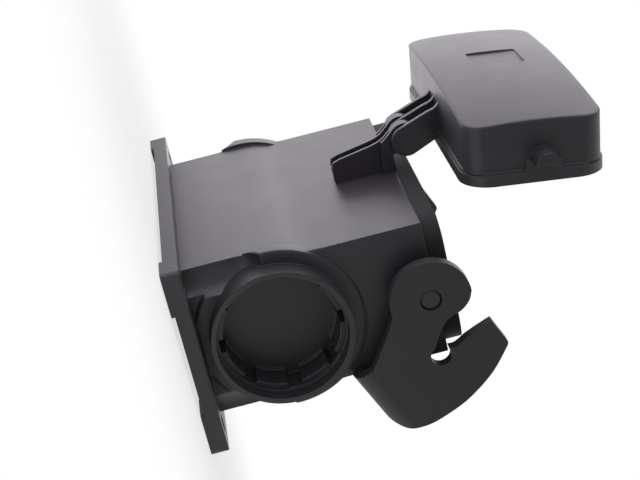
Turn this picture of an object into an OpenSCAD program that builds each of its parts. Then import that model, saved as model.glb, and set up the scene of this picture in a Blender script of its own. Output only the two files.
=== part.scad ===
/* [Flange] */
// Reach of the mounting flange past the body's ends
flange_reach_x = 10.5; // [8:0.5:16]
// Reach of the mounting flange past the body's sides
flange_reach_y = 5.8; // [5:0.1:9]
// Height of the flange's inner face over the mounting surface
flange_t = 5.2; // [4:0.1:8]
// Corner radius of the flange
flange_r = 1.5; // [1:0.5:4]
// Height of the four corner pads under the flange
pad_h = 1; // [0.4:0.1:1.5]
// Length of a corner pad, along X
pad_l = 11; // [8:0.5:20]
// Width of a corner pad, along Y
pad_w = 13.5; // [8:0.5:16]
// Distance of the fixing holes from the flange's ends
hole_edge_x = 6; // [5:0.5:7]
// Distance of the fixing holes from the flange's sides
hole_edge_y = 6.5; // [5.5:0.5:7.5]
// Diameter of the fixing holes
hole_d = 5.5; // [4.3:0.1:6.5]
// Radius of the corner coves that clear the screw heads
cove_r = 8; // [7:0.1:9]

/* [Body] */
// Length of the body, along X
body_l = 96; // [94:0.5:98]
// Width of the body beside the flange
base_w = 46.4; // [44:0.2:48]
// Width of the body at the opening
mouth_w = 41.4; // [40.8:0.2:42.6]
// Height where the wide part of the body ends
taper_z0 = 29; // [28.5:0.5:32]
// Height where the narrow part of the body begins
taper_z1 = 44; // [40:0.5:46]
// Height of the shoulder round the opening
shoulder_z = 73.5; // [70:0.5:78]
// Wall of the body
wall = 3; // [2.4:0.1:3.6]
// Floor over the mounting surface
floor_t = 4.4; // [3.2:0.1:5]

/* [Collar and seal] */
// Height of the collar over the shoulder
collar_h = 5.4; // [5:0.1:6]
// Distance of the collar from the body's long sides
collar_inset = 2.5; // [2.4:0.1:3]
// Distance of the collar from the body's ends
collar_end_inset = 2.2; // [2:0.1:3]
// Corner radius of the collar
collar_r = 6.5; // [5:0.5:8]
// Wall of the collar
collar_wall = 1.8; // [1.6:0.1:2.4]
// Height of the seal band round the collar
seal_h = 5.2; // [4:0.1:5.4]
// Thickness of the seal band
seal_t = 1.2; // [1:0.1:1.4]

/* [Insert seat] */
// Distance of the insert's fixing holes from the body's ends
insert_edge_x = 9.25; // [8.5:0.25:10]
// Distance of the insert's fixing holes from the body's long sides
insert_edge_y = 7.2; // [6.7:0.1:8]
// Diameter of the insert's fixing holes
insert_hole_d = 3.3; // [2.5:0.1:4]
// Depth of the insert's fixing holes
insert_hole_depth = 12; // [8:0.5:13]
// Diameter of the fixing bosses
insert_boss_d = 7.5; // [6.5:0.5:8]
// Height of the bosses' seat over the mounting surface
insert_seat_z = 62; // [58:0.5:66]
// Height of a boss from its foot to the seat
insert_boss_h = 15; // [14:0.5:20]

/* [Cable entry] */
// Height of the entry's axis over the mounting surface
entry_z = 28.2; // [27.5:0.1:28.6]
// Radius of the entry's root on the end wall
root_r = 24.3; // [23.4:0.1:24.6]
// Height of the root over the end wall
root_h = 1.2; // [0.8:0.1:2]
// Outer radius of the entry tube
tube_r = 20.4; // [20.2:0.1:21.5]
// Wall of the entry tube
tube_wall = 1.5; // [1.2:0.1:1.6]
// Height of the tube's rim over the end wall
tube_h = 7.6; // [6:0.1:9]
// Depth of the ledge behind the rim
ledge_depth = 5.1; // [4:0.1:6]
// Inner radius of the ledge
ledge_r = 16.7; // [16.2:0.1:17.2]
// Depth of the closed floor behind the rim
entry_depth = 14; // [12:0.1:16]
// Thickness of the closed floor
entry_floor_t = 2; // [1.4:0.1:3]
// Number of notches in the ledge
notch_count = 8; // [6:1:10]
// Width of a notch
notch_w = 4; // [2.8:0.1:4.4]
// Radius of the notches' bottom
notch_r = 18.2; // [17.6:0.1:18.5]
// Height of the bead round the closed floor
bead_h = 0.6; // [0.4:0.1:1]
// Width of the bead
bead_w = 0.6; // [0.5:0.1:1]

/* [Locking lever] */
// Drop of the lever's pivot under the shoulder
pivot_drop = 2.5; // [2.4:0.1:3]
// Diameter of the pivot studs on the end walls
stud_d = 6.2; // [5.6:0.1:7]
// Running clearance of the lever on the studs, on the radius
stud_clearance = 0.08; // [0.04:0.01:0.1]
// Diameter of the boss under each stud
stud_boss_d = 10.4; // [9.6:0.2:10.4]
// Height of the stud's boss over the end wall
stud_boss_h = 3.6; // [3:0.1:4]
// Chamfer of the stud's end
stud_chamfer = 0.4; // [0.2:0.1:0.6]
// Side clearance of the lever's cheeks
cheek_gap = 0.4; // [0.3:0.05:0.6]
// Thickness of a cheek
cheek_t = 3.6; // [3:0.1:4]
// Setback of the stud's end behind the cheek's face
stud_in = 0.6; // [0.3:0.1:1]
// Radius of the round head over the pivot
head_r = 11.8; // [11:0.1:11.8]
// Radius of the relief hole at the foot of the hook
relief_r = 3.1; // [2.6:0.1:3.3]
// Reach of the grip plate's outer face from the pivot
grip_reach = 31.8; // [31:0.1:33]
// Thickness of the grip plate between the cheeks
grip_t = 3; // [2.6:0.1:3.4]
// Radius of the round corners between the cheeks and the grip plate
grip_r = 5.5; // [4.5:0.1:6.5]
// Clearance of the open lever's grip plate from the body's side
grip_clear = 0.6; // [0.4:0.1:1]
// Turn of the open lever about the pivot, in degrees
lever_turn = 156.2; // [155.8:0.1:158]

/* [Hinge] */
// Distance of the hinge axis from the body's side
hinge_out = 9.3; // [9:0.1:10]
// Height of the hinge axis over the shoulder
hinge_rise = 5.1; // [4.8:0.1:5.4]
// Diameter of the cover's hinge bar
bar_d = 4; // [3.4:0.1:4.4]
// Running clearance of the hinge bar in the bracket, on the radius
bar_clearance = 0.07; // [0.03:0.01:0.1]
// Width of the snap mouth of the bracket's eyes
snap_w = 3.4; // [3:0.1:3.6]
// Radius of the bracket's eyes
eye_r = 5.1; // [4.6:0.1:5.4]
// Thickness of the bracket's ribs
rib_t = 1; // [0.8:0.1:1.1]
// Distance of the inner ribs from the middle
rib_in_x = 1.8; // [1.6:0.1:2]
// Distance of the outer ribs from the middle
rib_out_x = 4; // [3.8:0.1:4.2]
// Thickness of the bracket's foot
foot_t = 1.4; // [1:0.1:2]
// Drop of the bracket's lower end under the shoulder
bracket_drop = 18.5; // [16:0.5:22]
// Drop of the outer ribs' lower end under the shoulder
outer_rib_drop = 3.5; // [2.5:0.5:8]
// Thickness of the cover's hinge plates
plate_t = 1.6; // [1.4:0.1:2]
// Distance between the hinge plates' middles
plate_pitch = 6.8; // [6.6:0.1:7.2]
// Radius of the plates' round ends
lobe_r = 4.6; // [4:0.1:4.8]
// Angle between the closed cover and the open stop, in degrees
cover_swing = 82; // [70:1:90]

/* [Cover] */
// Height of the closed cover's edge over the shoulder
lip_rise = 3.1; // [3.1:0.1:3.6]
// Play of the cover's lip beside the seal's long sides
lip_play_y = 0.5; // [0.45:0.05:0.6]
// Play of the cover's lip beside the seal's ends
lip_play_x = 0.3; // [0.3:0.05:0.5]
// Gap between the collar and the closed cover's inner step
inner_gap = 0.4; // [0.3:0.1:0.6]
// Wall of the cover's lip
lip_wall = 0.9; // [0.8:0.1:1.2]
// Height of the lip's lower step
lip_h = 3.2; // [2.8:0.1:4]
// Height of the lip's upper step
step_h = 0.8; // [0.6:0.1:1.2]
// Setback of the upper step
step_in = 0.5; // [0.3:0.1:0.7]
// Setback of the cover's wall from the lip
wall_in = 1; // [0.8:0.1:1.2]
// Height of the whole cover at the middle of its top
cover_h = 20.3; // [18:0.1:22]
// Corner radius of the cover's walls
cover_r = 6; // [5:0.5:7]
// Rise of the arched top along the cover's length
crown_x = 2.2; // [1:0.1:3]
// Rise of the arched top across the cover
crown_y = 1.1; // [0.5:0.1:1.5]
// Wall of the cover
cover_wall = 1.8; // [1.4:0.1:2.2]
// Radius of the half-round pegs on the cover's ends
peg_r = 3.7; // [3:0.1:3.8]
// Gap between the lever's round head and the pegs' flat side
peg_gap = 0.3; // [0.3:0.1:0.6]
// Distance of the pegs from the middle, toward the lever's grip
peg_y = 2; // [1.6:0.1:2.4]
// Reach of the pegs into the lever's cheeks
peg_reach = 2; // [1.4:0.1:3]
// Width of the blocks under the pegs
peg_block_w = 10.4; // [9:0.1:12]
// Length of the bare recess in the cover's top
recess_l = 15; // [8:0.5:24]
// Width of the bare recess in the cover's top
recess_w = 15.5; // [8:0.5:20]
// Distance of the recess from the cover's middle, along X
recess_x = 9; // [0:0.5:20]
// Distance of the recess from the cover's middle, away from the hinge
recess_y = 1.5; // [0:0.5:6]
// Depth of the recess
recess_depth = 0.8; // [0.7:0.1:1]

/* [Hidden] */
$fn = 64;
black = [0.15, 0.15, 0.16];
soot = [0.1, 0.1, 0.11];
rubber = [0.07, 0.07, 0.07];
over = 0.5;
thin = 0.01;
body_x = body_l / 2;
mouth_y = mouth_w / 2;
base_y = base_w / 2;
flange_l = body_l + 2 * flange_reach_x;
flange_w = base_w + 2 * flange_reach_y;
hole_x = flange_l / 2 - hole_edge_x;
hole_y = flange_w / 2 - hole_edge_y;
insert_x = body_x - insert_edge_x;
insert_y = mouth_y - insert_edge_y;
root_x = body_x + root_h;
tube_x = body_x + tube_h;
collar_top = shoulder_z + collar_h;
collar_x = body_x - collar_end_inset;
collar_y = mouth_y - collar_inset;
cavity_l = 2 * (collar_x - collar_wall);
cavity_w = 2 * (collar_y - collar_wall);
seal_x = collar_x + seal_t;
seal_y = collar_y + seal_t;
seal_r = collar_r + seal_t;
pivot_z = shoulder_z - pivot_drop;
stud_boss_x = body_x + stud_boss_h;
stud_end_x = stud_boss_x + cheek_gap + cheek_t - stud_in;
cheek_in_x = stud_boss_x + cheek_gap;
cheek_x = cheek_in_x + cheek_t;
lever_size = grip_reach / 31.8;
hinge_y = mouth_y + hinge_out;
hinge_z = shoulder_z + hinge_rise;
bracket_z0 = shoulder_z - bracket_drop;
outer_rib_z = shoulder_z - outer_rib_drop;
lip_z = shoulder_z + lip_rise;
lip_in_x = seal_x + lip_play_x;
lip_in_y = seal_y + lip_play_y;
lip_x = lip_in_x + lip_wall;
lip_y = lip_in_y + lip_wall;
lip_top = lip_z + lip_h;
wall_z = lip_top + step_h;
wall_x = lip_x - wall_in;
wall_y = lip_y - wall_in;
top_z = lip_z + cover_h;
inner_z = collar_top + inner_gap;
peg_z = pivot_z + head_r + peg_gap;
peg_x = cheek_in_x + peg_reach;
crown_r = wall_x * wall_x / (2 * crown_x);
arch_r = wall_y * wall_y / (2 * crown_y);

// A point between b and c on the smooth curve through four points
function between(a, b, c, d, t) =
    b + (c - a) * t / 2 + (2 * a - 5 * b + 4 * c - d) * t * t / 2 + (3 * b - 3 * c + d - a) * t * t * t / 2;

// A smooth curve through the given points
function curve(p) = [
    for (i = [0 : len(p) - 2], t = [0 : 0.25 : 0.75])
        between(p[max(i - 1, 0)], p[i], p[i + 1], p[min(i + 2, len(p) - 1)], t),
    p[len(p) - 1]
];

// A flat rectangle with round corners, centred
module rounded(l, w, r) {
    square([l - 2 * r, w], center = true);
    square([l, w - 2 * r], center = true);
    for (sx = [-1, 1], sy = [-1, 1])
        translate([sx * (l / 2 - r), sy * (w / 2 - r)])
            circle(r = r);
}

// A slab with round corners between two heights
module slab(l, w, r, z0, z1) {
    translate([0, 0, z0])
        linear_extrude(z1 - z0)
            rounded(l, w, r);
}

// A straight taper between two rounded rectangles
module taper(l0, w0, r0, z0, l1, w1, r1, z1) {
    hull() {
        slab(l0, w0, r0, z0, z0 + thin, $fn = 32);
        slab(l1, w1, r1, z1 - thin, z1, $fn = 32);
    }
}

// Lays a flat outline of Y and Z upright, as a plate from x0 to x1
module upright(x0, x1) {
    translate([x0, 0, 0])
        rotate([90, 0, 90])
            linear_extrude(x1 - x0)
                children();
}

// A round bar along X from x0 to x1
module bar_x(r, x0, x1, y, z) {
    translate([x0, y, z])
        rotate([0, 90, 0])
            cylinder(r = r, h = x1 - x0);
}

// Repeats a shape of the +X end on the -X end
module both_ends() {
    children();
    mirror([1, 0, 0])
        children();
}

module flange() {
    difference() {
        union() {
            slab(flange_l, flange_w, flange_r, pad_h, flange_t);
            for (sx = [-1, 1], sy = [-1, 1])
                translate([sx * (flange_l - pad_l) / 2, sy * (flange_w - pad_w) / 2, 0])
                    slab(pad_l, pad_w, flange_r, 0, pad_h + over);
        }
        for (sx = [-1, 1], sy = [-1, 1])
            translate([sx * hole_x, sy * hole_y, -over])
                cylinder(d = hole_d, h = flange_t + 2 * over);
    }
}

// A box centred over the middle, between two heights
module block(l, w, z0, z1) {
    translate([-l / 2, -w / 2, z0])
        cube([l, w, z1 - z0]);
}

// The space for a screw's head and driver over a fixing hole
module cove() {
    translate([hole_x, hole_y, flange_t])
        cylinder(r = cove_r, h = entry_z - cove_r - flange_t);
    translate([hole_x, hole_y, entry_z - cove_r])
        sphere(r = cove_r);
}

// The body's outside, with the coves over the fixing holes
module body_shell() {
    bend_h = (taper_z1 - taper_z0) / 2;
    bend_y = sqrt(base_y * base_y - bend_h * bend_h);
    drop_y = bend_y - mouth_y;
    hollow_r = (bend_h * bend_h + drop_y * drop_y) / (2 * drop_y);
    difference() {
        union() {
            block(body_l, base_w, flange_t - over, taper_z0);
            both_ends()
                bar_x(root_r, body_x - wall, root_x, 0, entry_z);
        }
        both_ends() {
            cove();
            mirror([0, 1, 0])
                cove();
        }
        translate([-flange_l, -flange_w, -flange_w])
            cube([2 * flange_l, 2 * flange_w, flange_w + flange_t - over]);
    }
    intersection() {
        block(body_l, base_w, taper_z0 - thin, taper_z0 + bend_h);
        bar_x(base_y, -body_x, body_x, 0, taper_z0);
    }
    difference() {
        block(body_l, 2 * bend_y, taper_z0 + bend_h - thin, taper_z1);
        for (sy = [-1, 1])
            bar_x(hollow_r, -flange_l, flange_l, sy * (mouth_y + hollow_r), taper_z1);
    }
    block(body_l, mouth_w, taper_z1 - thin, shoulder_z);
    slab(2 * collar_x, 2 * collar_y, collar_r, shoulder_z - over, collar_top);
}

module cavity() {
    cavity_r = collar_r - collar_wall;
    slab(cavity_l, base_w - 2 * wall, cavity_r, floor_t, taper_z0);
    taper(cavity_l, base_w - 2 * wall, cavity_r, taper_z0 - thin, cavity_l, cavity_w, cavity_r, taper_z1);
    slab(cavity_l, cavity_w, cavity_r, taper_z1 - thin, collar_top + over);
}

// The solid of one cable entry, before it is bored
module entry_solid() {
    bar_x(tube_r, body_x - wall, tube_x, 0, entry_z);
    bar_x(notch_r + tube_wall, tube_x - entry_depth - entry_floor_t, body_x, 0, entry_z);
}

module entry_bore() {
    floor_x = tube_x - entry_depth;
    bar_x(tube_r - tube_wall, tube_x - ledge_depth, tube_x + over, 0, entry_z);
    bar_x(ledge_r - bead_w, floor_x, tube_x, 0, entry_z);
    bar_x(ledge_r, floor_x + bead_h, tube_x, 0, entry_z);
    intersection() {
        bar_x(notch_r, floor_x, tube_x, 0, entry_z);
        for (i = [0 : notch_count - 1])
            translate([floor_x, 0, entry_z])
                rotate([i * 360 / notch_count, 0, 0])
                    translate([0, -notch_w / 2, ledge_r - 3 * bead_w])
                        cube([entry_depth, notch_w, tube_r]);
    }
}

// Two fixing bosses of the insert on the end wall
module insert_bosses() {
    for (sy = [-1, 1])
        translate([insert_x, sy * insert_y, insert_seat_z - insert_boss_h]) {
            cylinder(d = insert_boss_d, h = insert_boss_h);
            translate([0, -insert_boss_d / 2, 0])
                cube([body_x - wall - insert_x, insert_boss_d, insert_boss_h]);
        }
}

module housing_body() {
    color(black)
        difference() {
            union() {
                flange();
                difference() {
                    body_shell();
                    cavity();
                }
                both_ends() {
                    entry_solid();
                    insert_bosses();
                    bar_x(stud_boss_d / 2, body_x - thin, stud_boss_x, 0, pivot_z);
                    bar_x(stud_d / 2, body_x - thin, stud_end_x - stud_chamfer, 0, pivot_z);
                    translate([stud_end_x - stud_chamfer, 0, pivot_z])
                        rotate([0, 90, 0])
                            cylinder(r1 = stud_d / 2, r2 = stud_d / 2 - stud_chamfer, h = stud_chamfer);
                }
            }
            both_ends() {
                entry_bore();
                for (sy = [-1, 1])
                    translate([insert_x, sy * insert_y, insert_seat_z - insert_hole_depth])
                        cylinder(d = insert_hole_d, h = insert_hole_depth + over);
            }
        }
}

module rim_seal() {
    color(rubber)
        difference() {
            slab(2 * seal_x, 2 * seal_y, seal_r, shoulder_z, shoulder_z + seal_h);
            slab(2 * collar_x, 2 * collar_y, collar_r, shoulder_z - over, shoulder_z + seal_h + over);
        }
}

// The lever's arm about the pivot: neck, grip corner and curved back with the hook
module arm_outline() {
    neck = [[-4.2, 10], [-0.9, 13.6], [1.8, 17.3], [7.4, 25.5]];
    back = [
        [22, 31.8], [24, 31.6], [26.8, 30.4], [30, 27.8], [32.3, 22.3], [32.9, 15.5], [32.8, 10.5], [32.1, 6.2],
        [30.9, 1.5], [29.1, -3.1], [25.7, -9.2]
    ];
    tip = [[24.9, -9.9], [15, -9.9], [4, -4], [-4, 0]];
    polygon(lever_size * concat(curve(neck), [[7.4, 31.8]], curve(back), tip));
}

// The slot between the head and the hook, with the relief hole at its foot
module slot_outline() {
    upper = [
        [4.6, -10.9], [6.6, -8.9], [7.6, -6.8], [8, -4.6], [7.7, -2.1], [8.1, 0.6], [9.6, 3.4], [11.4, 5.8],
        [13.5, 8.2]
    ];
    lower = [[15.4, 5], [16.4, 3.2], [16.5, 1.3], [16.2, -1], [16.2, -3.7], [16.3, -6.5], [16.5, -10]];
    polygon(lever_size * concat([[4.4, -14]], curve(upper), curve(lower), [[16.5, -14]]));
}

module locking_lever() {
    reach = 2 * grip_reach;
    color(black)
        difference() {
            translate([0, 0, pivot_z])
                rotate([lever_turn, 0, 0])
                    difference() {
                        intersection() {
                            union() {
                                bar_x(head_r, -cheek_x, cheek_x, 0, 0);
                                upright(-cheek_x, cheek_x)
                                    arm_outline();
                            }
                            translate([0, reach, grip_reach - reach / 2])
                                rotate([90, 0, 0])
                                    linear_extrude(2 * reach)
                                        difference() {
                                            rounded(2 * cheek_x, reach, grip_r);
                                            translate([0, -grip_t])
                                                rounded(2 * cheek_in_x, reach, grip_r - grip_t);
                                        }
                        }
                        upright(-cheek_x - over, cheek_x + over)
                            slot_outline();
                        bar_x(relief_r, -cheek_x - over, cheek_x + over, 16.2 * lever_size, 7.6 * lever_size);
                        both_ends()
                            bar_x(stud_d / 2 + stud_clearance, cheek_in_x - over, cheek_x + over, 0, 0);
                    }
            translate([-body_x - 1, -mouth_y - grip_clear, 0])
                cube([body_l + 2, reach, pivot_z - head_r]);
        }
}

// A rib of the bracket, from its lower end to the eye; from_z cuts it short
module rib_outline(from_z) {
    axis = [hinge_y, hinge_z];
    sweep = curve([[-0.08, -2.16], [0.04, -1.69], [0.22, -1.29], [0.47, -0.98], [0.7, -0.7]]);
    low = max(from_z, bracket_z0 + 2);
    polygon(concat(
        [[mouth_y, from_z], [hinge_y - 4.4, from_z], [hinge_y - 2.8, from_z + 0.6], [hinge_y - 2.1, low + 0.6]],
        [for (p = sweep) if (p[1] * eye_r + hinge_z > low + 1) axis + eye_r * p],
        [axis, axis + eye_r * [-0.745, -0.667], [hinge_y - 4, shoulder_z + 0.5], [mouth_y, shoulder_z + 0.5]]
    ));
}

module hinge_bracket() {
    rib_end = rib_out_x + rib_t;
    color(soot)
        difference() {
            union() {
                both_ends() {
                    upright(rib_in_x, rib_in_x + rib_t)
                        rib_outline(bracket_z0);
                    upright(rib_out_x, rib_end)
                        rib_outline(outer_rib_z);
                    bar_x(eye_r, rib_in_x, rib_end, hinge_y, hinge_z);
                }
                translate([-rib_end, mouth_y, outer_rib_z])
                    cube([2 * rib_end, foot_t, shoulder_z - outer_rib_z]);
                translate([-rib_in_x - rib_t, mouth_y, bracket_z0])
                    cube([2 * (rib_in_x + rib_t), foot_t, shoulder_z - bracket_z0]);
                translate([-rib_in_x - rib_t, mouth_y, bracket_z0])
                    cube([2 * (rib_in_x + rib_t), hinge_y - mouth_y - 4.4, rib_t]);
            }
            bar_x(bar_d / 2 + bar_clearance, -2 * rib_end, 2 * rib_end, hinge_y, hinge_z);
            translate([-2 * rib_end, hinge_y - snap_w / 2, hinge_z])
                cube([4 * rib_end, snap_w, 2 * eye_r]);
        }
}

// A hinge plate of the cover, from its round end to the cover's side wall
module plate_outline() {
    lobe_s = 0.468 * lobe_r;
    lobe_c = 0.884 * lobe_r;
    lip_mid = lip_y - lip_wall / 2;
    sweep = curve([[3.4, 6.6], [1.8, 7.2], [0.7, 8], [0, 9]]);
    polygon(concat(
        [[hinge_y - lobe_s, hinge_z - lobe_c], [hinge_y + lobe_s, hinge_z + lobe_c]],
        [for (p = sweep) [wall_y, wall_z] + p],
        [[wall_y - 1, wall_z + 9], [wall_y - 1, wall_z], [lip_mid, inner_z]],
        [[lip_mid, lip_z + 2], [lip_y, lip_z + 2]]
    ));
}

// A round-cornered block under the arched top; inset moves its walls and top inward
module arched_block(inset, z0) {
    ring = cover_h;
    intersection() {
        slab(2 * (wall_x - inset), 2 * (wall_y - inset), cover_r - inset, z0, top_z);
        translate([0, 0, top_z - crown_r])
            rotate([90, 0, 0])
                rotate_extrude($fn = 360)
                    intersection() {
                        translate([crown_r - arch_r, 0])
                            circle(r = arch_r - inset, $fn = 360);
                        translate([crown_r - 2 * ring, -wall_y])
                            square([3 * ring, 2 * wall_y]);
                    }
    }
}

module cover_closed() {
    lip_r = seal_r + lip_play_x + lip_wall;
    difference() {
        union() {
            slab(2 * lip_x, 2 * lip_y, lip_r, lip_z, lip_top);
            slab(2 * (lip_x - step_in), 2 * (lip_y - step_in), lip_r - step_in, lip_top - thin, wall_z);
            arched_block(0, wall_z - over);
            both_ends() {
                intersection() {
                    bar_x(peg_r, collar_x, peg_x, -peg_y, peg_z);
                    translate([0, -peg_y - 2 * peg_r, peg_z])
                        cube([2 * peg_x, 4 * peg_r, 2 * peg_r]);
                }
                translate([collar_x, -peg_y - peg_block_w / 2, lip_top - thin])
                    cube([lip_x - collar_x, peg_block_w, peg_z - lip_top + 2 * thin]);
            }
        }
        slab(2 * lip_in_x, 2 * lip_in_y, seal_r + lip_play_x, lip_z - over, inner_z);
        arched_block(cover_wall, inner_z - thin);
        translate([recess_x, -recess_y, 0])
            slab(recess_l, recess_w, 1, top_z - recess_depth, top_z + over);
    }
    for (i = [-1 : 1]) {
        upright(i * plate_pitch - plate_t / 2, i * plate_pitch + plate_t / 2)
            plate_outline();
        bar_x(lobe_r, i * plate_pitch - plate_t / 2, i * plate_pitch + plate_t / 2, hinge_y, hinge_z);
    }
    bar_x(bar_d / 2, -plate_pitch, plate_pitch, hinge_y, hinge_z);
}

module protective_cover() {
    color(black)
        translate([0, hinge_y, hinge_z])
            rotate([-cover_swing, 0, 0])
                translate([0, -hinge_y, -hinge_z])
                    cover_closed();
}

housing_body();
rim_seal();
locking_lever();
hinge_bracket();
protective_cover();
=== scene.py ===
import math

import bpy
from mathutils import Matrix, Vector


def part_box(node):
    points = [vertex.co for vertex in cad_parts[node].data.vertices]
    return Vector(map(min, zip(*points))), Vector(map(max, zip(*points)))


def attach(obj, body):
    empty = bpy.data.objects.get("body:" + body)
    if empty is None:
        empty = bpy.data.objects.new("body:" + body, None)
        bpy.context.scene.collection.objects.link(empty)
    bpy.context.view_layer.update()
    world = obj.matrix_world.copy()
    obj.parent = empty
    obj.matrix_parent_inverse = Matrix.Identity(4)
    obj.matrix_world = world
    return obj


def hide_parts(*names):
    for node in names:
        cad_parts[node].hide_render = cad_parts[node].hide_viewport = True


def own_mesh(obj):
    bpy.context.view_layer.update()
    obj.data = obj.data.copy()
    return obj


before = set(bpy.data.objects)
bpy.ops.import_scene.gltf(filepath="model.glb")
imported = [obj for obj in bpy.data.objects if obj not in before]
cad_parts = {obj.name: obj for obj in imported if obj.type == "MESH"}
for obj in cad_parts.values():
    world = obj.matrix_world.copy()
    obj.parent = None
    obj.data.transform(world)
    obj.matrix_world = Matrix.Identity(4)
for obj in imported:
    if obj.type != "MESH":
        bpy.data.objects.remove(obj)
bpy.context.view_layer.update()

# Housing: one moulding of black glass-filled polyamide, with the flange, both cable entries and the
# lever's studs in one piece. The spark-eroded mould gives it a fine texture with a soft satin sheen.
MM = 0.001
CLOUD_SIZE = 9 * MM
GRAIN_STRENGTH = 0.6
POLYAMIDE_IOR = 1.54
EDGE_SOFTNESS = 0.5 * MM
FOOT_SOFTNESS = 0.12 * MM
FOOT_TOP = (6.2 * MM, 7.5 * MM)
ENTRY_HEIGHT = 28.2 * MM
ROOT_SOFTNESS = 1.3 * MM
ROOT_INSIDE = (22 * MM, 23 * MM)
ROOT_OUTSIDE = (26 * MM, 28 * MM)
END_WALL = (46.5 * MM, 47 * MM)


def linear(code):
    """A colour written as an sRGB hex code, as linear red, green, blue and alpha."""
    parts = [int(code[i : i + 2], 16) / 255 for i in (1, 3, 5)]
    return tuple(c / 12.92 if c < 0.04045 else ((c + 0.055) / 1.055) ** 2.4 for c in parts) + (1.0,)


def add(tree, kind, links=(), **values):
    """Adds a node, sets its properties and sockets by name, and links (socket, other node's output)."""
    node = tree.nodes.new(kind)
    for name, value in values.items():
        if hasattr(node, name):
            setattr(node, name, value)
        else:
            node.inputs[name.replace("_", " ")].default_value = value
    for socket, output in links:
        tree.links.new(output, node.inputs[socket])
    return node


def moulded(name, dark, light, rough, grain, grain_height, edge):
    """A moulded plastic or rubber skin: cloudy colour and sheen over a fine grain, with soft edges.

    rough is its (lowest, highest) roughness. The grain's size and height and the edge are in metres.
    """
    material = bpy.data.materials.new(name)
    material.use_nodes = True
    tree = material.node_tree
    shader = tree.nodes["Principled BSDF"]
    place = add(tree, "ShaderNodeTexCoord").outputs["Object"]
    cloud = add(tree, "ShaderNodeTexNoise", [("Vector", place)], Scale=1 / CLOUD_SIZE, Detail=4.0)
    clouds = cloud.outputs["Fac"]
    colour = add(tree, "ShaderNodeMix", [("Factor", clouds)], data_type="RGBA")
    colour.inputs[6].default_value = linear(dark)
    colour.inputs[7].default_value = linear(light)
    sheen = add(tree, "ShaderNodeMapRange", [("Value", clouds)], To_Min=rough[0], To_Max=rough[1])
    # The real grain, about 0.05 mm, is too fine to show, so it is drawn several times as coarse.
    speckle = add(tree, "ShaderNodeTexNoise", [("Vector", place)], Scale=1 / grain, Detail=3.0)
    bevel = add(tree, "ShaderNodeBevel", name="soft edge", Radius=edge, samples=6)
    bump = add(
        tree,
        "ShaderNodeBump",
        [("Height", speckle.outputs["Fac"]), ("Normal", bevel.outputs["Normal"])],
        Distance=grain_height,
        Strength=GRAIN_STRENGTH,
    )
    tree.links.new(colour.outputs[2], shader.inputs["Base Color"])
    tree.links.new(sheen.outputs["Result"], shader.inputs["Roughness"])
    tree.links.new(bump.outputs["Normal"], shader.inputs["Normal"])
    return material


def dress(node_name, material):
    """Gives a CAD node its material and returns it."""
    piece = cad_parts[node_name]
    piece.data.materials.clear()
    piece.data.materials.append(material)
    return piece


body_skin = moulded(
    "black glass-filled polyamide, spark-eroded texture",
    dark="#2d2b2e",
    light="#322f33",
    rough=(0.36, 0.44),
    grain=0.35 * MM,
    grain_height=0.02 * MM,
    edge=EDGE_SOFTNESS,
)
tree = body_skin.node_tree
tree.nodes["Principled BSDF"].inputs["IOR"].default_value = POLYAMIDE_IOR
# The entries' roots run softly into the end walls, and the flange's edges are crisp.
place = add(tree, "ShaderNodeTexCoord").outputs["Object"]
where = add(tree, "ShaderNodeSeparateXYZ", [(0, place)])
across = add(tree, "ShaderNodeVectorMath", [(0, place)], operation="MULTIPLY_ADD")
across.inputs[1].default_value = (0, 1, 1)
across.inputs[2].default_value = (0, 0, -ENTRY_HEIGHT)
away = add(tree, "ShaderNodeVectorMath", [(0, across.outputs["Vector"])], operation="LENGTH")
root = add(
    tree,
    "ShaderNodeMapRange",
    [("Value", away.outputs["Value"])],
    From_Min=ROOT_INSIDE[0],
    From_Max=ROOT_INSIDE[1],
    To_Max=ROOT_SOFTNESS,
)
round_root = add(
    tree,
    "ShaderNodeMapRange",
    [("Value", away.outputs["Value"])],
    From_Min=ROOT_OUTSIDE[0],
    From_Max=ROOT_OUTSIDE[1],
    To_Min=1.0,
    To_Max=0.0,
)
end = add(tree, "ShaderNodeMath", [(0, where.outputs["X"])], operation="ABSOLUTE")
at_end = add(
    tree, "ShaderNodeMapRange", [("Value", end.outputs[0])], From_Min=END_WALL[0], From_Max=END_WALL[1]
)
soft = root.outputs["Result"]
for mask in (at_end, round_root):
    product = add(tree, "ShaderNodeMath", [(0, soft), (1, mask.outputs["Result"])], operation="MULTIPLY")
    soft = product.outputs[0]
foot = add(
    tree,
    "ShaderNodeMapRange",
    [("Value", where.outputs["Z"])],
    From_Min=FOOT_TOP[0],
    From_Max=FOOT_TOP[1],
    To_Min=FOOT_SOFTNESS,
    To_Max=EDGE_SOFTNESS,
)
radius = add(tree, "ShaderNodeMath", [(0, soft), (1, foot.outputs["Result"])], operation="MAXIMUM")
tree.links.new(radius.outputs[0], tree.nodes["soft edge"].inputs["Radius"])
dress("housing_body", body_skin)

# Seal: a band of black nitrile rubber that is pushed on round the collar, matt and a little darker than
# the plastic. While it is free, its long sides stand out almost to the housing's sides, further than the
# CAD band's; the lip of the shut cover presses them in to the CAD band's width.
FREE_SIDE = 20.5 * MM
BAND = 1.2 * MM
BAND_CORNER = 7.7 * MM
CORNER_STEPS = 16


def rounded(half_x, half_y, corner, height):
    """The outline of a rectangle with rounded corners, at a height."""
    points = []
    for quarter, (side_x, side_y) in enumerate(((1, 1), (-1, 1), (-1, -1), (1, -1))):
        for step in range(CORNER_STEPS + 1):
            angle = math.radians(90) * (quarter + step / CORNER_STEPS)
            x = side_x * (half_x - corner) + corner * math.cos(angle)
            y = side_y * (half_y - corner) + corner * math.sin(angle)
            points.append((x, y, height))
    return points


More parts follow.
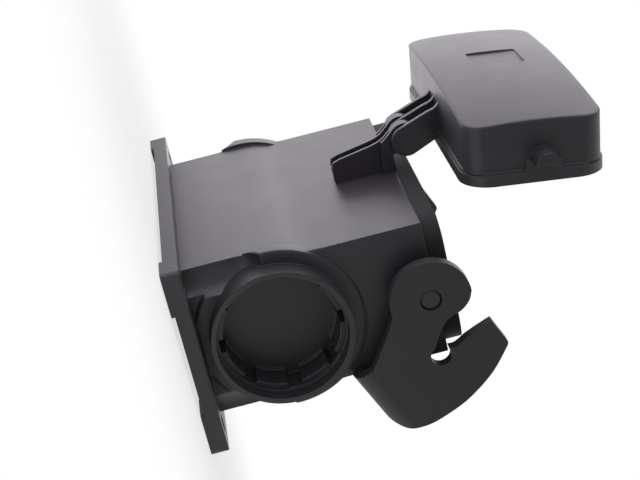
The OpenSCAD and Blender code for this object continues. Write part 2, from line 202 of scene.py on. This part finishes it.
band_low, band_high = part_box("rim_seal")
rim = (band_high[0], FREE_SIDE, BAND_CORNER)
collar = (band_high[0] - BAND, band_high[1] - BAND, BAND_CORNER - BAND)
loops = [
    rounded(*rim, band_low[2]),
    rounded(*rim, band_high[2]),
    rounded(*collar, band_high[2]),
    rounded(*collar, band_low[2]),
]
count = len(loops[0])
faces = []
for k in range(4):
    this, other = k * count, (k + 1) % 4 * count
    for i in range(count):
        j = (i + 1) % count
        faces.append((this + i, this + j, other + j, other + i))
band = bpy.data.meshes.new("seal_band")
band.from_pydata([point for loop in loops for point in loop], [], faces)
seal = bpy.data.objects.new("seal_band", band)
bpy.context.scene.collection.objects.link(seal)
seal_skin = moulded(
    "black nitrile rubber, moulded",
    dark="#171617",
    light="#1c1b1c",
    rough=(0.7, 0.8),
    grain=0.5 * MM,
    grain_height=0.015 * MM,
    edge=0.4 * MM,
)
band.materials.append(seal_skin)
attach(seal, "housing")
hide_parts("rim_seal")
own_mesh(seal)

# Hinge bracket: a small clip-on moulding of unfilled black polyamide on the housing's side, whose two
# double-ribbed arms end in snap eyes. A polished mould makes it smoother than the housing.
bracket_skin = moulded(
    "black polyamide, polished mould",
    dark="#302d31",
    light="#353236",
    rough=(0.34, 0.42),
    grain=0.6 * MM,
    grain_height=0.006 * MM,
    edge=0.3 * MM,
)
dress("hinge_bracket", bracket_skin)

# Locking lever: one moulding of black glass-filled polyamide, two cheeks with hooks and a grip plate
# between them. It clips over the housing's studs, and its eroded texture is the most matt of all.
lever_skin = moulded(
    "black glass-filled polyamide, fine eroded texture",
    dark="#2b282b",
    light="#302d30",
    rough=(0.46, 0.54),
    grain=0.35 * MM,
    grain_height=0.02 * MM,
    edge=EDGE_SOFTNESS,
)
dress("locking_lever", lever_skin)

# Protective cover: one moulding of black glass-filled polyamide with its hinge plates and bar, which
# snaps into the bracket's eyes. Its top has a satin sheen and soft edges; the recess in it is plain.
TOP_NORMAL = (0, 0.990, 0.139)
TOP_EDGE = (53 * MM, 54.5 * MM)
TOP_SOFTNESS = 1.8 * MM
RECESS_MIDDLE = (9 * MM, 43.4 * MM, 112.3 * MM)
RECESS_REACH = (12 * MM, 14 * MM)
cover_skin = moulded(
    "black glass-filled polyamide, eroded texture with satin sheen",
    dark="#2d2b2e",
    light="#333034",
    rough=(0.38, 0.46),
    grain=0.35 * MM,
    grain_height=0.02 * MM,
    edge=EDGE_SOFTNESS,
)
tree = cover_skin.node_tree
place = add(tree, "ShaderNodeTexCoord").outputs["Object"]
height = add(tree, "ShaderNodeVectorMath", [(0, place)], operation="DOT_PRODUCT")
height.inputs[1].default_value = TOP_NORMAL
top = add(
    tree,
    "ShaderNodeMapRange",
    [("Value", height.outputs["Value"])],
    From_Min=TOP_EDGE[0],
    From_Max=TOP_EDGE[1],
    To_Max=TOP_SOFTNESS,
)
away = add(tree, "ShaderNodeVectorMath", [(0, place)], operation="DISTANCE")
away.inputs[1].default_value = RECESS_MIDDLE
clear = add(
    tree,
    "ShaderNodeMapRange",
    [("Value", away.outputs["Value"])],
    From_Min=RECESS_REACH[0],
    From_Max=RECESS_REACH[1],
)
soft = add(
    tree, "ShaderNodeMath", [(0, top.outputs["Result"]), (1, clear.outputs["Result"])], operation="MULTIPLY"
)
radius = add(tree, "ShaderNodeMath", [(0, soft.outputs[0])], operation="MAXIMUM")
radius.inputs[1].default_value = EDGE_SOFTNESS
tree.links.new(radius.outputs[0], tree.nodes["soft edge"].inputs["Radius"])
dress("protective_cover", cover_skin)

# Stage: a sheet of white paper under the flange, a white surround that is dimmer on the camera's side,
# and two soft lamps. Away from the part and its shadow the paper fades to the background's white.
FLOOR_SIZE = 0.42
FLOOR_DROP = 0.2 * MM
SHADOW_REACH = 0.06
WHITE_REACH = 0.2
WHITE_NEAR = 0.68
bpy.ops.mesh.primitive_plane_add(size=FLOOR_SIZE, location=(0, 0, -FLOOR_DROP))
floor = bpy.context.object
floor.name = "floor"
paper = bpy.data.materials.new("white paper sheet")
paper.use_nodes = True
tree = paper.node_tree
sheet = tree.nodes["Principled BSDF"]
sheet.inputs["Base Color"].default_value = linear("#f6f6f6")
sheet.inputs["Roughness"].default_value = 0.9
sheet.inputs["Specular IOR Level"].default_value = 0.1
place = add(tree, "ShaderNodeNewGeometry").outputs["Position"]
away = add(tree, "ShaderNodeVectorMath", [(0, place)], operation="LENGTH")
fade = add(
    tree,
    "ShaderNodeMapRange",
    [("Value", away.outputs["Value"])],
    interpolation_type="SMOOTHSTEP",
    From_Min=SHADOW_REACH,
    From_Max=WHITE_REACH,
    To_Min=WHITE_NEAR,
    To_Max=1.0,
)
ray = add(tree, "ShaderNodeLightPath")
seen = add(
    tree,
    "ShaderNodeMath",
    [(0, ray.outputs["Is Camera Ray"]), (1, ray.outputs["Is Glossy Ray"])],
    operation="MAXIMUM",
)
share = add(tree, "ShaderNodeMath", [(0, fade.outputs["Result"]), (1, seen.outputs[0])], operation="MULTIPLY")
white = add(tree, "ShaderNodeEmission", Color=(1, 1, 1, 1), Strength=1.0)
blend = add(
    tree,
    "ShaderNodeMixShader",
    [(0, share.outputs[0]), (1, sheet.outputs["BSDF"]), (2, white.outputs["Emission"])],
)
tree.links.new(blend.outputs[0], tree.nodes["Material Output"].inputs["Surface"])
floor.data.materials.append(paper)

BRIGHT_SIDE = (0.87, -0.5, 0)
DIM_TO_BRIGHT = (-0.8, 0.5)
DIM_LEVEL = 0.36
AMBIENT = 0.7
world = bpy.data.worlds.new("white studio")
world.use_nodes = True
bpy.context.scene.world = world
tree = world.node_tree
ray = add(tree, "ShaderNodeLightPath")
mirrored = add(
    tree,
    "ShaderNodeMath",
    [(0, ray.outputs["Is Glossy Ray"]), (1, ray.outputs["Is Transmission Ray"])],
    operation="MAXIMUM",
)
level = add(tree, "ShaderNodeMapRange", [("Value", mirrored.outputs[0])], To_Min=AMBIENT, To_Max=1.0)
place = add(tree, "ShaderNodeTexCoord").outputs["Generated"]
toward = add(tree, "ShaderNodeVectorMath", [(0, place)], operation="DOT_PRODUCT")
toward.inputs[1].default_value = BRIGHT_SIDE
dim = add(
    tree,
    "ShaderNodeMapRange",
    [("Value", toward.outputs["Value"])],
    interpolation_type="SMOOTHSTEP",
    From_Min=DIM_TO_BRIGHT[0],
    From_Max=DIM_TO_BRIGHT[1],
    To_Min=DIM_LEVEL,
    To_Max=1.0,
)
glow = add(
    tree, "ShaderNodeMath", [(0, level.outputs["Result"]), (1, dim.outputs["Result"])], operation="MULTIPLY"
)
strength = add(
    tree, "ShaderNodeMath", [(0, glow.outputs[0]), (1, ray.outputs["Is Camera Ray"])], operation="MAXIMUM"
)
background = tree.nodes["Background"]
background.inputs["Color"].default_value = (1, 1, 1, 1)
tree.links.new(strength.outputs[0], background.inputs["Strength"])


LAMP_COLOUR = "#f8f1ff"


def softbox(name, place, aim, wide, tall, watts):
    """A soft lamp, a lit sheet that faces a point. Lengths are in metres."""
    lamp = bpy.data.lights.new(name, "AREA")
    lamp.shape = "RECTANGLE"
    lamp.size = wide
    lamp.size_y = tall
    lamp.color = linear(LAMP_COLOUR)[:3]
    lamp.energy = watts
    holder = bpy.data.objects.new(name, lamp)
    bpy.context.scene.collection.objects.link(holder)
    holder.location = place
    holder.rotation_euler = (Vector(aim) - Vector(place)).to_track_quat("-Z", "Y").to_euler()


softbox("key softbox", place=(0.0, 1.2, 0.4), aim=(0, 0, 0.05), wide=1.4, tall=1.4, watts=13.0)
softbox("side softbox", place=(1.46, 0.15, 0.0), aim=(0, 0, 0.04), wide=1.3, tall=2.4, watts=15.0)

# Camera: a long lens at half a metre, turned so that the housing lies on its side with the mounting
# surface to the left.
LENS_MM = 87.648
EYE = (-0.44724, 0.19485, 0.0338)
camera = bpy.data.cameras.new("photo view")
camera.lens = LENS_MM
camera.sensor_width = 36.0
camera.clip_start = 0.01
eye = bpy.data.objects.new("photo view", camera)
bpy.context.scene.collection.objects.link(eye)
right = Vector((-0.121308, -0.219355, 0.968074))
up = Vector((0.376597, 0.892187, 0.249351))
back = Vector((-0.918400, 0.394822, -0.025620))
turn = Matrix((right, up, back)).transposed().to_4x4()
eye.matrix_world = Matrix.Translation(EYE) @ turn
bpy.context.scene.camera = eye

bpy.context.scene.view_settings.view_transform = "Standard"
